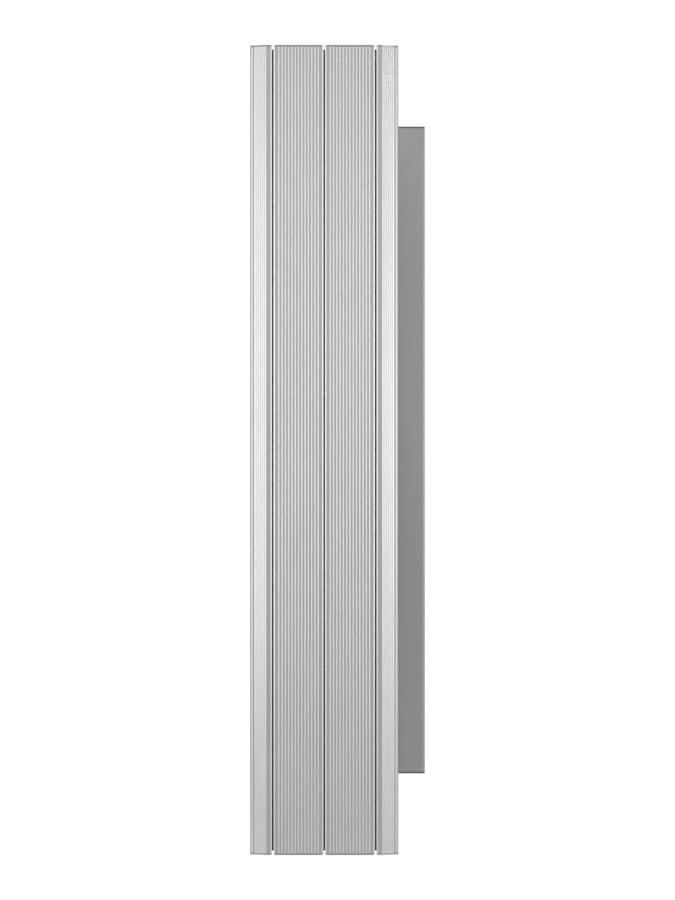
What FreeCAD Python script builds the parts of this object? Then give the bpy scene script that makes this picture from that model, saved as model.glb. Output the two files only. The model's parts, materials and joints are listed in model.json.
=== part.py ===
"""A tall decorative radiator of four ribbed aluminium elements, with its valves in a side casing.

The wall is the plane y = 0, the radiator stands in front of it towards -Y, and +Z is up. The origin
is the centre of the four wall fixings. Everything is in millimetres.
"""

import FreeCAD, Part
import math
import os
import Sketcher

VECTOR = FreeCAD.Vector

# ---------------------------------------------------------------------------------------------
# Driving dimensions
# ---------------------------------------------------------------------------------------------

DIMENSIONS = {
    # The row of elements.
    "body_height": 1800.0,  # over the end caps
    "element_pitch": 114.4,  # between the middles of the gaps
    "element_gap": 3.6,
    "element_depth": 48.0,
    "wall_space": 62.0,  # from the wall to the back of the elements
    "face_wall": 3.5,
    "flange_wall": 2.4,
    "face_bevel_width": 3.0,
    "face_bevel_depth": 1.7,
    "web_width": 7.0,
    "tube_radius": 13.0,
    "tube_bore_radius": 9.5,
    "tube_setback": 26.0,  # from the front face to the middle of the water tube
    "edge_tube_gap": 2.0,  # between an edge element's inner side and its water tube
    "edge_strip": 12.2,  # the edge element's flat front strip
    "flank_run": 27.0,  # how far the slanted flank reaches sideways
    "flank_rise": 33.0,  # and how far it reaches back
    "edge_ledge": 9.6,  # the narrow strip behind the flank that faces forward again
    # The fine grooves along the faces.
    "groove_pitch": 7.3,
    "groove_width": 2.6,
    "groove_depth": 0.75,
    "ledge_rim": 2.1,  # the flat outer rim of the ledge
    "ledge_slope": 4.4,  # the sloping strip beside it, seen from the front
    "ledge_drop": 2.0,  # how far the rim is set back
    "flank_groove_width": 3.2,
    "flank_groove_depth": 0.6,
    "face_grooves": 13.0,
    "flank_grooves": 6.0,
    "flank_margin": 3.1,  # from the start of the flank to the middle of its first groove
    # The screw channels in the back of the elements.
    "channel_offset": 24.0,
    "edge_channel_inset": 30.0,
    "channel_width": 18.0,
    "channel_depth": 9.0,
    "channel_lip": 2.0,
    "channel_mouth": 7.0,
    "nut_room_width": 13.0,
    "nut_room_depth": 5.0,
    # End caps and the dark strips in the gaps.
    "cap_wall": 4.0,
    "cap_corner": 3.5,
    "cap_edge": 2.0,
    "strip_inset": 6.0,
    "strip_setback": 8.0,
    "strip_depth": 12.0,
    # Water pipes.
    "header_inset": 80.0,  # from the end of the body to the middle of a header
    "header_radius": 14.0,
    "header_bore_radius": 11.5,
    "header_end_inset": 7.0,
    "plug_flange": 4.0,
    "plug_length": 10.0,
    "nipple_radius": 8.0,
    "nipple_bore_radius": 5.5,
    "nipple_collar_radius": 10.5,
    "nipple_reach": 5.0,  # how far a nipple enters the tube and the header
    "seal_ring_radius": 9.4,
    "seal_cord_radius": 1.2,
    "tube_plug_length": 14.0,
    "riser_inset": 19.0,  # from the side of the body to the middle of the riser
    "pipe_radius": 7.5,
    "pipe_bore_radius": 6.5,
    # Compression joints.
    "thread_wall": 2.35,  # from the hole for the pipe out to the crest of the thread
    "thread_length": 10.0,
    "waterway_radius": 5.5,
    "nut_wall": 1.75,  # at the middle of a flat
    "nut_beyond": 5.0,  # how far a nut stands beyond the end of its thread
    "nut_standoff": 0.5,  # from the shoulder of the thread to the nut
    "nut_lip": 1.4,
    "nut_wall_gap": 2.0,  # between a nut on a wall pipe and the casing's base
    "olive_length": 3.2,
    "olive_wall": 1.75,
    "olive_taper": 0.8,
    "connector_flange": 6.0,
    "connector_standoff": 0.5,  # between the header and the connector's flange
    # The two corner valves.
    "valve_lift": 120.0,  # from the bottom of the casing to the thermostatic valve
    "valve_spacing": 50.0,
    "valve_core_radius": 12.0,
    "valve_seat_back": 8.0,  # from the riser's middle back to the seat
    "valve_inlet_back": 14.0,  # from the riser's middle back to the wall pipe's middle
    "valve_core_back": 21.0,
    "valve_core_front": 12.0,
    "valve_core_wall": 4.0,
    "branch_neck": 3.0,  # between the core and the thread on the riser's side
    "inlet_bore_radius": 4.5,
    "chamber_radius": 8.5,
    "seat_radius": 5.0,
    "disc_radius": 7.0,
    "disc_wall": 3.0,
    "disc_holder_radius": 6.0,
    "disc_holder_wall": 2.0,
    "spindle_radius": 2.0,
    "spindle_lift": 3.0,
    "bonnet_insert": 7.0,
    "bonnet_flange": 5.0,
    "bonnet_neck": 9.0,
    "bonnet_thread_radius": 15.0,
    "spring_room_sink": 2.0,  # how deep the spring's room goes into the bonnet's flange
    "spring_room_radius": 6.0,
    "spring_length": 7.0,
    "spring_wire_radius": 0.5,
    "spring_coil_radius": 3.6,
    "spring_turns": 5.0,
    "spring_collar": 1.5,
    "collar_radius": 18.0,
    "collar_setback": 1.0,  # between the bonnet's flange and the collar
    "collar_lip": 3.0,
    "head_flange": 2.0,
    "head_neck_radius": 12.2,
    "head_neck": 1.0,  # between the collar and the head
    "head_tube_radius": 17.0,
    "head_tube_bore_radius": 14.5,
    "nose_radius": 5.0,
    "sensor_radius": 13.8,
    "sensor_length": 21.0,
    "sensor_gap": 0.5,  # at each end of the sensor's travel
    "wheel_radius": 22.0,
    "wheel_wall": 3.0,
    "wheel_end_gap": 2.0,  # between the head's tube and the end of the handwheel
    "wheel_bevel": 1.5,
    "wheel_grips": 14.0,
    "grip_radius": 1.6,
    "grip_offset": 0.4,  # from the handwheel's rim out to the middle of a grip
    "lock_spindle_radius": 3.0,
    "lock_neck_radius": 11.0,
    "lock_neck": 10.0,
    "lock_spindle_sink": 2.0,  # from the end of the gland in to the end of the spindle
    "lock_plug_nose_radius": 6.0,
    "lock_plug_wall": 4.0,
    "lock_key_radius": 1.6,
    "lock_key_depth": 4.5,
    "lock_cap_radius": 13.0,
    "lock_cap_length": 18.0,
    "lock_cap_wall": 1.8,
    "lock_cap_bevel": 1.0,
    # Air vent.
    "vent_screw_radius": 2.5,
    "vent_head_radius": 3.6,
    "vent_head": 1.6,
    "vent_slot": 1.0,
    # The side casing over the riser and the valves.
    "casing_inset": 180.0,  # from each end of the body to the casing's end
    "casing_reach": 59.0,  # beyond the side of the body
    "casing_width": 134.0,
    "casing_front_gap": 2.0,  # behind the elements
    "casing_wall_gap": 3.0,
    "sheet_wall": 2.0,
    "casing_hem": 6.0,
    "casing_lip": 4.4,  # how far the cover's front is bent back at its left edge
    "casing_corner_radius": 6.0,
    "casing_cap_wall": 3.5,
    "access_height": 72.0,
    "access_margin": 5.0,
    "pipe_slot_room": 3.5,  # round a pipe in the slot of the casing's end
    "pipe_window_room": 10.0,  # round the wall pipes in the base's window
    "base_side_gap": 1.0,
    "base_end_gap": 2.0,
    "base_screw_radius": 2.75,
    "base_screw_spacing_x": 90.0,
    "base_screw_spacing_z": 700.0,
    "arm_end_inset": 60.0,
    "arm_width": 24.0,
    "arm_foot": 20.0,
    "guide_length": 100.0,
    "guide_inset": 10.8,  # from the left of the base to the start of a guide
    "guide_wall": 2.7,
    "guide_lip": 3.0,
    # Rails and wall brackets.
    "bracket_inset": 130.0,  # from the end of the body to the wall fixings
    "bracket_offset": 28.8,  # from the nearest screw channel out to the middle of a bracket
    "bracket_width": 32.0,
    "bracket_half_height": 25.0,
    "steel_wall": 3.0,
    "fixing_radius": 4.0,
    "rail_half_height": 22.0,
    "rail_depth": 15.0,
    "rail_lip": 13.0,
    "rail_end_inset": 10.0,
    "pad_wall": 1.5,
    "screw_radius": 2.9,
    "screw_head_radius": 5.0,
    "screw_head": 4.0,
    "screw_head_bevel": 1.0,
    "screw_length": 6.5,
    "slot_nut_length": 18.0,
    # Clearances.
    "fit_gap": 0.05,  # between pieces that are pushed or screwed together
    "free_gap": 0.3,  # between pieces that move past each other
    "hole_gap": 0.4,  # round a screw
}


class Size:
    """A length with its value now and the expression that keeps it bound to the sheet."""

    def __init__(self, value, text):
        self.value = float(value)
        self.text = text

    @staticmethod
    def of(number):
        return number if isinstance(number, Size) else Size(number, repr(float(number)))

    def __add__(self, other):
        other = Size.of(other)
        return Size(self.value + other.value, f"({self.text} + {other.text})")

    def __sub__(self, other):
        other = Size.of(other)
        return Size(self.value - other.value, f"({self.text} - {other.text})")

    def __mul__(self, other):
        other = Size.of(other)
        return Size(self.value * other.value, f"({self.text} * {other.text})")

    def __truediv__(self, other):
        other = Size.of(other)
        return Size(self.value / other.value, f"({self.text} / {other.text})")

    def __neg__(self):
        return Size(-self.value, f"(0 - {self.text})")

    __radd__ = __add__
    __rmul__ = __mul__

    def __rsub__(self, other):
        return Size.of(other) - self

    def root(self):
        return Size(math.sqrt(self.value), f"sqrt({self.text})")


class Sheet:
    """The spreadsheet of driving dimensions, read back as Size attributes."""

    def __init__(self, document):
        self.cells = document.addObject("Spreadsheet::Sheet", "Sizes")
        for row, (alias, value) in enumerate(DIMENSIONS.items(), start=1):
            self.cells.set(f"A{row}", alias)
            self.cells.set(f"B{row}", str(value))
            self.cells.setAlias(f"B{row}", alias)
            setattr(self, alias, Size(value, "Sizes." + alias))


doc = FreeCAD.newDocument("Radiator")
size = Sheet(doc)
doc.recompute()
nodes = {}

# ---------------------------------------------------------------------------------------------
# Building blocks
# ---------------------------------------------------------------------------------------------

BEYOND = 1.0  # how far a cutting tool reaches past the face that it opens
NEAR = 0.01  # places closer than this count as the same

DIRECTIONS = {
    "+x": VECTOR(1, 0, 0),
    "-x": VECTOR(-1, 0, 0),
    "+y": VECTOR(0, 1, 0),
    "-y": VECTOR(0, -1, 0),
    "+z": VECTOR(0, 0, 1),
    "-z": VECTOR(0, 0, -1),
}


def bind(item, prop, length):
    item.setExpression(prop, Size.of(length).text)


def place(item, position, direction="+z"):
    """Turn an item's own +Z to a direction and put its origin at a position."""
    rotation = FreeCAD.Rotation(VECTOR(0, 0, 1), DIRECTIONS[direction])
    item.Placement = FreeCAD.Placement(VECTOR(0, 0, 0), rotation)
    for coordinate, length in zip("xyz", position):
        bind(item, "Placement.Base." + coordinate, length)
    return item


def node(label, item):
    """Name an item as a sub-part of the radiator."""
    item.Label = label
    nodes[label] = item
    return item


def box(low, high):
    item = doc.addObject("Part::Box", "Box")
    for prop, start, end in zip(("Length", "Width", "Height"), low, high):
        bind(item, prop, Size.of(end) - start)
    return place(item, low)


def rod(direction, start, length, radius):
    item = doc.addObject("Part::Cylinder", "Rod")
    bind(item, "Radius", radius)
    bind(item, "Height", length)
    return place(item, start, direction)


def ring(direction, centre, major, minor):
    item = doc.addObject("Part::Torus", "Ring")
    bind(item, "Radius1", major)
    bind(item, "Radius2", minor)
    return place(item, centre, direction)


def joined(pieces):
    item = doc.addObject("Part::MultiFuse", "Joined")
    item.Shapes = pieces
    item.Refine = True
    return item


def group(pieces):
    """Identical loose pieces that share one name."""
    item = doc.addObject("Part::Compound", "Group")
    item.Links = pieces
    return item


def cut(base, tools):
    item = doc.addObject("Part::Cut", "Cut")
    item.Base = base
    item.Tool = tools[0] if len(tools) == 1 else joined(tools)
    item.Refine = True
    return item


def drilled(base, tools):
    """Cut the tools away one after the other."""
    for tool in tools:
        base = cut(base, [tool])
    return base


def mirrored(source, normal):
    item = doc.addObject("Part::Mirroring", "Mirrored")
    item.Source = source
    item.Base = VECTOR(0, 0, 0)
    item.Normal = normal
    return item


def new_body():
    return doc.addObject("PartDesign::Body", "Body")


def sketch_on(body, role, outlines=(), circles=(), guide_line=None):
    """A sketch of closed outlines and circles, each point held by the sheet."""
    sketch = body.newObject("Sketcher::SketchObject", "Sketch")
    plane = next(item for item in body.Origin.OriginFeatures if item.Role == role)
    sketch.AttachmentSupport = [(plane, "")]
    sketch.MapMode = "FlatFace"

    def hold(geometry, corner, point):
        for kind, length in zip(("DistanceX", "DistanceY"), point):
            length = Size.of(length)
            constraint = Sketcher.Constraint(kind, -1, 1, geometry, corner, length.value)
            index = sketch.addConstraint(constraint)
            sketch.setExpression(f"Constraints[{index}]", length.text)

    def flat(point):
        return VECTOR(Size.of(point[0]).value, Size.of(point[1]).value, 0)

    if guide_line:
        line = sketch.addGeometry(Part.LineSegment(flat(guide_line[0]), flat(guide_line[1])), True)
        hold(line, 1, guide_line[0])
        hold(line, 2, guide_line[1])
    for points in outlines:
        lines = []
        for start, end in zip(points, points[1:] + points[:1]):
            segment = Part.LineSegment(flat(start), flat(end))
            lines.append(sketch.addGeometry(segment, False))
        for line, following in zip(lines, lines[1:] + lines[:1]):
            sketch.addConstraint(Sketcher.Constraint("Coincident", line, 2, following, 1))
        for line, start in zip(lines, points):
            hold(line, 1, start)
    for centre, radius in circles:
        shape = Part.Circle(flat(centre), VECTOR(0, 0, 1), Size.of(radius).value)
        circle = sketch.addGeometry(shape, False)
        hold(circle, 3, centre)
        index = sketch.addConstraint(Sketcher.Constraint("Radius", circle, Size.of(radius).value))
        sketch.setExpression(f"Constraints[{index}]", Size.of(radius).text)
    return sketch


def pad(body, sketch, length, back=False):
    item = body.newObject("PartDesign::Pad", "Pad")
    item.Profile = sketch
    bind(item, "Length", length)
    item.Reversed = back
    return item


def pocket_all(body, sketch, back=False):
    item = body.newObject("PartDesign::Pocket", "Pocket")
    item.Profile = sketch
    item.Type = "ThroughAll"
    item.Reversed = back
    return item


def pattern(body, feature, sketch, axis, length, count):
    item = body.newObject("PartDesign::LinearPattern", "Pattern")
    item.Originals = [feature]
    item.Direction = (sketch, [axis])
    bind(item, "Length", length)
    bind(item, "Occurrences", count)
    body.Tip = item
    return item


def rounded(body, feature, wanted, radius):
    """Round the edges of a feature for which wanted(edge) is true."""
    doc.recompute()
    names = []
    for number, edge in enumerate(feature.Shape.Edges, start=1):
        if wanted(edge):
            names.append(f"Edge{number}")
    item = body.newObject("PartDesign::Fillet", "Fillet")
    item.Base = (feature, names)
    bind(item, "Radius", radius)
    return item


def upright_at(corners):
    """A test for vertical edges that stand at one of the corners, given as (x, y)."""

    def wanted(edge):
        ends = edge.BoundBox
        if ends.ZLength < NEAR:
            return False
        for x, y in corners:
            across = abs(ends.XMin - Size.of(x).value) + abs(ends.XMax - Size.of(x).value)
            along = abs(ends.YMin - Size.of(y).value) + abs(ends.YMax - Size.of(y).value)
            if across + along < NEAR:
                return True
        return False

    return wanted


def turned(position, direction, profile):
    """A piece turned on a lathe: profile is a closed outline of (radius, distance along) points."""
    body = new_body()
    sketch = sketch_on(body, "XZ_Plane", outlines=[profile])
    item = body.newObject("PartDesign::Revolution", "Revolution")
    item.Profile = sketch
    item.ReferenceAxis = (sketch, ["V_Axis"])
    item.Angle = 360
    return place(body, position, direction)


def both_sides(points):
    """An outline from its right half, listed from the middle of one end round to the other."""
    return points + [(-x, y) for x, y in reversed(points)]


# ---------------------------------------------------------------------------------------------
# Places that several pieces share
# ---------------------------------------------------------------------------------------------

half_height = size.body_height / 2
edge_width = size.edge_strip + size.flank_run + size.edge_ledge
half_width = size.element_pitch + size.element_gap / 2 + edge_width
element_half = half_height - size.cap_wall
front_y = -(size.wall_space + size.element_depth)
rear_y = -size.wall_space
tube_y = front_y + size.tube_setback
edge_inner_x = size.element_pitch + size.element_gap / 2
edge_tube_x = edge_inner_x + size.edge_tube_gap + size.tube_radius
plain_half_width = (size.element_pitch - size.element_gap) / 2
plain_middles = {"left": -size.element_pitch / 2, "right": size.element_pitch / 2}
tube_middles = [-edge_tube_x, plain_middles["left"], plain_middles["right"], edge_tube_x]

pipe_hole = size.pipe_radius + size.fit_gap
thread_radius = pipe_hole + size.thread_wall
valve_branch = size.valve_core_radius + size.branch_neck + size.thread_length
inlet_branch = size.valve_core_radius + size.thread_length
inlet_end_y = -(size.sheet_wall + size.nut_wall_gap + size.nut_beyond)
pipe_y = inlet_end_y - inlet_branch
header_z = half_height - size.header_inset
riser_x = half_width - size.riser_inset
header_end = half_width - size.header_end_inset

casing_half = half_height - size.casing_inset
casing_right = half_width + size.casing_reach
casing_left = casing_right - size.casing_width
casing_front = rear_y + size.casing_front_gap
casing_back = -size.casing_wall_gap
valve_z = size.valve_lift - casing_half
lock_z = valve_z - size.valve_spacing
inlet_x = riser_x - size.valve_inlet_back
seat_x = riser_x - size.valve_seat_back
core_end = riser_x + size.valve_core_front

fixing_z = half_height - size.bracket_inset
flank_length = (size.flank_run * size.flank_run + size.flank_rise * size.flank_rise).root()
ledge_x = half_width - size.edge_ledge
ledge_y = front_y + size.flank_rise

# ---------------------------------------------------------------------------------------------
# The elements
# ---------------------------------------------------------------------------------------------


def channel_outline(middle):
    """The room for a sliding nut and its narrow mouth, open to the back."""
    lip_y = rear_y - size.channel_lip
    deep_y = lip_y - size.nut_room_depth
    mouth = size.channel_mouth / 2
    room = size.nut_room_width / 2
    return [
        (middle - mouth, rear_y + BEYOND),
        (middle - mouth, lip_y),
        (middle - room, lip_y),
        (middle - room, deep_y),
        (middle + room, deep_y),
        (middle + room, lip_y),
        (middle + mouth, lip_y),
        (middle + mouth, rear_y + BEYOND),
    ]


def with_nipple_holes(element, middle):
    """Open the water tube at the back where the headers' nipples enter."""
    tools = []
    for z in (header_z, -header_z):
        hole = size.nipple_radius + size.fit_gap
        tools.append(rod("+y", (middle, tube_y, z), rear_y - tube_y + BEYOND, hole))
        collar_y = tube_y + size.tube_radius
        room = size.nipple_collar_radius + size.free_gap
        tools.append(rod("+y", (middle, collar_y, z), rear_y - collar_y + BEYOND, room))
    return cut(element, tools)


def groove_outline(start, along, outward, distance, width, depth):
    """A V groove across a face: start and two unit vectors place it, distance is along the face."""
    half = width / 2

    def point(run, height):
        x = start[0] + along[0] * run + outward[0] * height
        y = start[1] + along[1] * run + outward[1] * height
        return (x, y)

    return [
        point(distance - half, BEYOND),
        point(distance - half, 0.0),
        point(distance, -depth),
        point(distance + half, 0.0),
        point(distance + half, BEYOND),
    ]


def plain_element(middle):
    """A flat-faced element: a face with two side flanges, a water tube and two screw channels."""
    body = new_body()
    face_y = front_y + size.face_wall
    fin = size.flange_wall / 2
    offset = size.channel_offset
    channel_y = rear_y - size.channel_depth
    half_channel = size.channel_width / 2
    right_half = [
        (size.web_width / 2, tube_y),
        (size.web_width / 2, face_y),
        (offset - fin, face_y),
        (offset - fin, channel_y),
        (offset - half_channel, channel_y),
        (offset - half_channel, rear_y),
        (offset + half_channel, rear_y),
        (offset + half_channel, channel_y),
        (offset + fin, channel_y),
        (offset + fin, face_y),
        (plain_half_width - size.flange_wall, face_y),
        (plain_half_width - size.flange_wall, rear_y),
        (plain_half_width, rear_y),
        (plain_half_width, front_y + size.face_bevel_depth),
        (plain_half_width - size.face_bevel_width, front_y),
    ]
    length = element_half * 2
    pad(body, sketch_on(body, "XY_Plane", outlines=[both_sides(right_half)]), length)
    tube = [((0.0, tube_y), size.tube_radius)]
    pad(body, sketch_on(body, "XY_Plane", circles=tube), length)
    channels = [channel_outline(-offset), channel_outline(offset)]
    bore = [((0.0, tube_y), size.tube_bore_radius)]
    pocket_all(body, sketch_on(body, "XY_Plane", outlines=channels, circles=bore), back=True)
    span = size.groove_pitch * (size.face_grooves - 1)
    start = (-span / 2, front_y)
    width = size.groove_width
    groove = groove_outline(start, (1.0, 0.0), (0.0, -1.0), Size.of(0.0), width, size.groove_depth)
    sketch = sketch_on(body, "XY_Plane", outlines=[groove])
    first = pocket_all(body, sketch, back=True)
    pattern(body, first, sketch, "H_Axis", span, size.face_grooves)
    place(body, (middle, 0.0, -element_half))
    return with_nipple_holes(body, middle)


def edge_outline():
    """The outline of an edge element seen from above, without its hollow."""
    return [
        (edge_inner_x, rear_y),
        (edge_inner_x, front_y + size.face_bevel_depth),
        (edge_inner_x + size.face_bevel_width, front_y),
        (edge_inner_x + size.edge_strip, front_y),
        (ledge_x, ledge_y),
        (half_width, ledge_y),
        (half_width, rear_y),
    ]


def edge_element():
    """The right-hand edge element, whose grooved flank slants back towards the wall."""
    body = new_body()
    face_y = front_y + size.face_wall
    skew = size.face_wall * (flank_length - size.flank_run) / size.flank_rise
    inside = [
        (half_width - size.face_wall, rear_y),
        (half_width - size.face_wall, ledge_y + size.face_wall),
        (ledge_x - skew, ledge_y + size.face_wall),
        (edge_inner_x + size.edge_strip - skew, face_y),
        (edge_inner_x + size.flange_wall, face_y),
        (edge_inner_x + size.flange_wall, rear_y),
    ]
    length = element_half * 2
    pad(body, sketch_on(body, "XY_Plane", outlines=[edge_outline() + inside]), length)
    tube = [((edge_tube_x, tube_y), size.tube_radius)]
    pad(body, sketch_on(body, "XY_Plane", circles=tube), length)
    middle = edge_inner_x + size.edge_channel_inset
    half_channel = size.channel_width / 2
    channel_y = tube_y + size.tube_bore_radius
    block = [
        (middle - half_channel, rear_y),
        (middle - half_channel, channel_y),
        (middle + half_channel, channel_y),
        (middle + half_channel, rear_y),
    ]
    pad(body, sketch_on(body, "XY_Plane", outlines=[block]), length)
    bore = [((edge_tube_x, tube_y), size.tube_bore_radius)]
    holes = sketch_on(body, "XY_Plane", outlines=[channel_outline(middle)], circles=bore)
    pocket_all(body, holes, back=True)
    start = (edge_inner_x + size.edge_strip, front_y)
    end = (ledge_x, ledge_y)
    along = (size.flank_run / flank_length, size.flank_rise / flank_length)
    outward = (size.flank_rise / flank_length, -size.flank_run / flank_length)
    rim_x = half_width - size.ledge_rim
    slope_x = rim_x - size.ledge_slope
    rim_cut = [
        (half_width + BEYOND, ledge_y - BEYOND),
        (half_width + BEYOND, ledge_y + size.ledge_drop),
        (rim_x, ledge_y + size.ledge_drop),
        (slope_x, ledge_y),
        (slope_x, ledge_y - BEYOND),
    ]
    pocket_all(body, sketch_on(body, "XY_Plane", outlines=[rim_cut]), back=True)
    width = size.flank_groove_width
    groove = groove_outline(start, along, outward, size.flank_margin, width, size.flank_groove_depth)
    sketch = sketch_on(body, "XY_Plane", outlines=[groove], guide_line=(start, end))
    first = pocket_all(body, sketch, back=True)
    span = size.groove_pitch * (size.flank_grooves - 1)
    pattern(body, first, sketch, "Axis0", span, size.flank_grooves)
    place(body, (0.0, 0.0, -element_half))
    return with_nipple_holes(body, edge_tube_x)


SIDEWAYS = VECTOR(1, 0, 0)
UPWARDS = VECTOR(0, 0, 1)

edge_right = node("element_edge_right", edge_element())
node("element_edge_left", mirrored(edge_right, SIDEWAYS))
for side, middle in plain_middles.items():
    node(f"element_plain_{side}", plain_element(middle))


def plain_cap(middle):
    """A flat cap whose two top corners are cut off."""
    body = new_body()
    half = plain_half_width
    right_half = [
        (half, 0.0),
        (half, size.cap_wall - size.cap_corner),
        (half - size.cap_corner, size.cap_wall),
    ]
    sketch = sketch_on(body, "XZ_Plane", outlines=[both_sides(right_half)])
    pad(body, sketch, size.element_depth)
    return place(body, (middle, rear_y, element_half))


def edge_cap():
    body = new_body()
    plate = pad(body, sketch_on(body, "XY_Plane", outlines=[edge_outline()]), size.cap_wall)
    doc.recompute()
    top = 0
    for number, face in enumerate(plate.Shape.Faces, start=1):
        if face.BoundBox.ZLength < NEAR and face.BoundBox.ZMin > NEAR:
            top = number
    bevel = body.newObject("PartDesign::Chamfer", "Chamfer")
    bevel.Base = (plate, [f"Face{top}"])
    bind(bevel, "Size", size.cap_edge)
    return place(body, (0.0, 0.0, element_half))


caps = {"edge_right": edge_cap()}
caps["edge_left"] = mirrored(caps["edge_right"], SIDEWAYS)
for side, middle in plain_middles.items():
    caps[f"plain_{side}"] = plain_cap(middle)
for name, cap in caps.items():
    node(f"top_cap_{name}", cap)
    node(f"bottom_cap_{name}", mirrored(cap, UPWARDS))

strip_front = front_y + size.strip_setback
strip_half = element_half - size.strip_inset
for name, middle in (("left", -size.element_pitch), ("middle", Size.of(0.0)), ("right", size.element_pitch)):
    low = (middle - size.element_gap / 2, strip_front, -strip_half)
    high = (middle + size.element_gap / 2, strip_front + size.strip_depth, strip_half)
    node(f"gap_strip_{name}", box(low, high))

# ---------------------------------------------------------------------------------------------
# Headers, nipples, plugs and the air vent
# ---------------------------------------------------------------------------------------------

for name, z, inward in (("top", header_z, "-z"), ("bottom", -header_z, "+z")):
    tools = [rod("+x", (-header_end, pipe_y, z), header_end * 2, size.header_bore_radius)]
    hole = size.nipple_radius + size.fit_gap
    for middle in tube_middles:
        tools.append(rod("-y", (middle, pipe_y, z), size.header_radius + BEYOND, hole))
    tools.append(rod(inward, (riser_x, pipe_y, z), size.header_radius + BEYOND, hole))
    pipe = rod("+x", (-header_end, pipe_y, z), header_end * 2, size.header_radius)
    node(f"header_{name}", cut(pipe, tools))

seal_room = size.seal_cord_radius * 2 + size.fit_gap * 2
tube_rear_y = tube_y + size.tube_radius
header_front_y = pipe_y - size.header_radius
nipple_start = tube_y + size.tube_radius - size.nipple_reach
nipple_length = header_front_y - tube_rear_y + size.nipple_reach * 2
collar_start = size.nipple_reach + seal_room
collar_end = nipple_length - size.nipple_reach - seal_room
nipple_profile = [
    (size.nipple_bore_radius, 0.0),
    (size.nipple_radius, 0.0),
    (size.nipple_radius, collar_start),
    (size.nipple_collar_radius, collar_start),
    (size.nipple_collar_radius, collar_end),
    (size.nipple_radius, collar_end),
    (size.nipple_radius, nipple_length),
    (size.nipple_bore_radius, nipple_length),
]
seals = []
for name, z in (("top", header_z), ("bottom", -header_z)):
    nipples = []
    for middle in tube_middles:
        nipples.append(turned((middle, nipple_start, z), "+y", nipple_profile))
        for y in (tube_rear_y + seal_room / 2, header_front_y - seal_room / 2):
            seals.append(ring("+y", (middle, y, z), size.seal_ring_radius, size.seal_cord_radius))
    node(f"header_nipples_{name}", group(nipples))
node("nipple_seals", group(seals))

plugs = []
plug_radius = size.tube_bore_radius - size.fit_gap
for middle in tube_middles:
    plugs.append(rod("-z", (middle, tube_y, element_half), size.tube_plug_length, plug_radius))
    plugs.append(rod("+z", (middle, tube_y, -element_half), size.tube_plug_length, plug_radius))
node("tube_plugs", group(plugs))

insert_radius = size.header_bore_radius - size.fit_gap
plug_profile = [
    (0.0, -size.plug_length),
    (insert_radius, -size.plug_length),
    (insert_radius, 0.0),
    (size.header_radius, 0.0),
    (size.header_radius, size.plug_flange),
    (0.0, size.plug_flange),
]
header_plugs = [
    turned((header_end, pipe_y, header_z), "+x", plug_profile),
    turned((header_end, pipe_y, -header_z), "+x", plug_profile),
    turned((-header_end, pipe_y, -header_z), "-x", plug_profile),
]
node("header_plugs", group(header_plugs))

vent_hole = size.vent_screw_radius + size.fit_gap
vent_profile = [
    (vent_hole, -size.plug_length),
    (insert_radius, -size.plug_length),
    (insert_radius, 0.0),
    (size.header_radius, 0.0),
    (size.header_radius, size.plug_flange),
    (vent_hole, size.plug_flange),
]
node("vent_body", turned((-header_end, pipe_y, header_z), "-x", vent_profile))
vent_head_end = size.plug_flange + size.vent_head
vent_screw_profile = [
    (0.0, -size.plug_length),
    (size.vent_screw_radius, -size.plug_length),
    (size.vent_screw_radius, size.plug_flange),
    (size.vent_head_radius, size.plug_flange),
    (size.vent_head_radius, vent_head_end),
    (0.0, vent_head_end),
]
vent_screw = turned((-header_end, pipe_y, header_z), "-x", vent_screw_profile)
slot_reach = size.vent_head_radius + BEYOND
slot_half = size.vent_slot / 2
slot_low = (-header_end - vent_head_end - BEYOND, pipe_y - slot_reach, header_z - slot_half)
slot_high = (-header_end - vent_head_end + size.vent_slot, pipe_y + slot_reach, header_z + slot_half)
node("vent_screw", cut(vent_screw, [box(slot_low, slot_high)]))

# ---------------------------------------------------------------------------------------------
# Riser, return pipe and their compression joints
# ---------------------------------------------------------------------------------------------

flange_start = size.header_radius + size.connector_standoff
thread_start = flange_start + size.connector_flange
thread_end = thread_start + size.thread_length
socket_start = thread_end - size.thread_length
connector_profile = [
    (size.waterway_radius, size.header_bore_radius),
    (size.nipple_radius, size.header_bore_radius),
    (size.nipple_radius, flange_start),
    (size.valve_core_radius, flange_start),
    (size.valve_core_radius, thread_start),
    (thread_radius, thread_start),
    (thread_radius, thread_end),
    (pipe_hole, thread_end),
    (pipe_hole, socket_start),
    (size.waterway_radius, socket_start),
]
node("riser_connector", turned((riser_x, pipe_y, header_z), "-z", connector_profile))
node("return_connector", turned((riser_x, pipe_y, -header_z), "+z", connector_profile))

branch_socket = valve_branch - size.thread_length


def pipe(low_z, high_z):
    start = (riser_x, pipe_y, low_z)
    outer = rod("+z", start, high_z - low_z, size.pipe_radius)
    return cut(outer, [rod("+z", start, high_z - low_z, size.pipe_bore_radius)])


node("riser_pipe", pipe(valve_z + branch_socket, header_z - socket_start))
node("return_pipe", pipe(-header_z + socket_start, lock_z - branch_socket))


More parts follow.
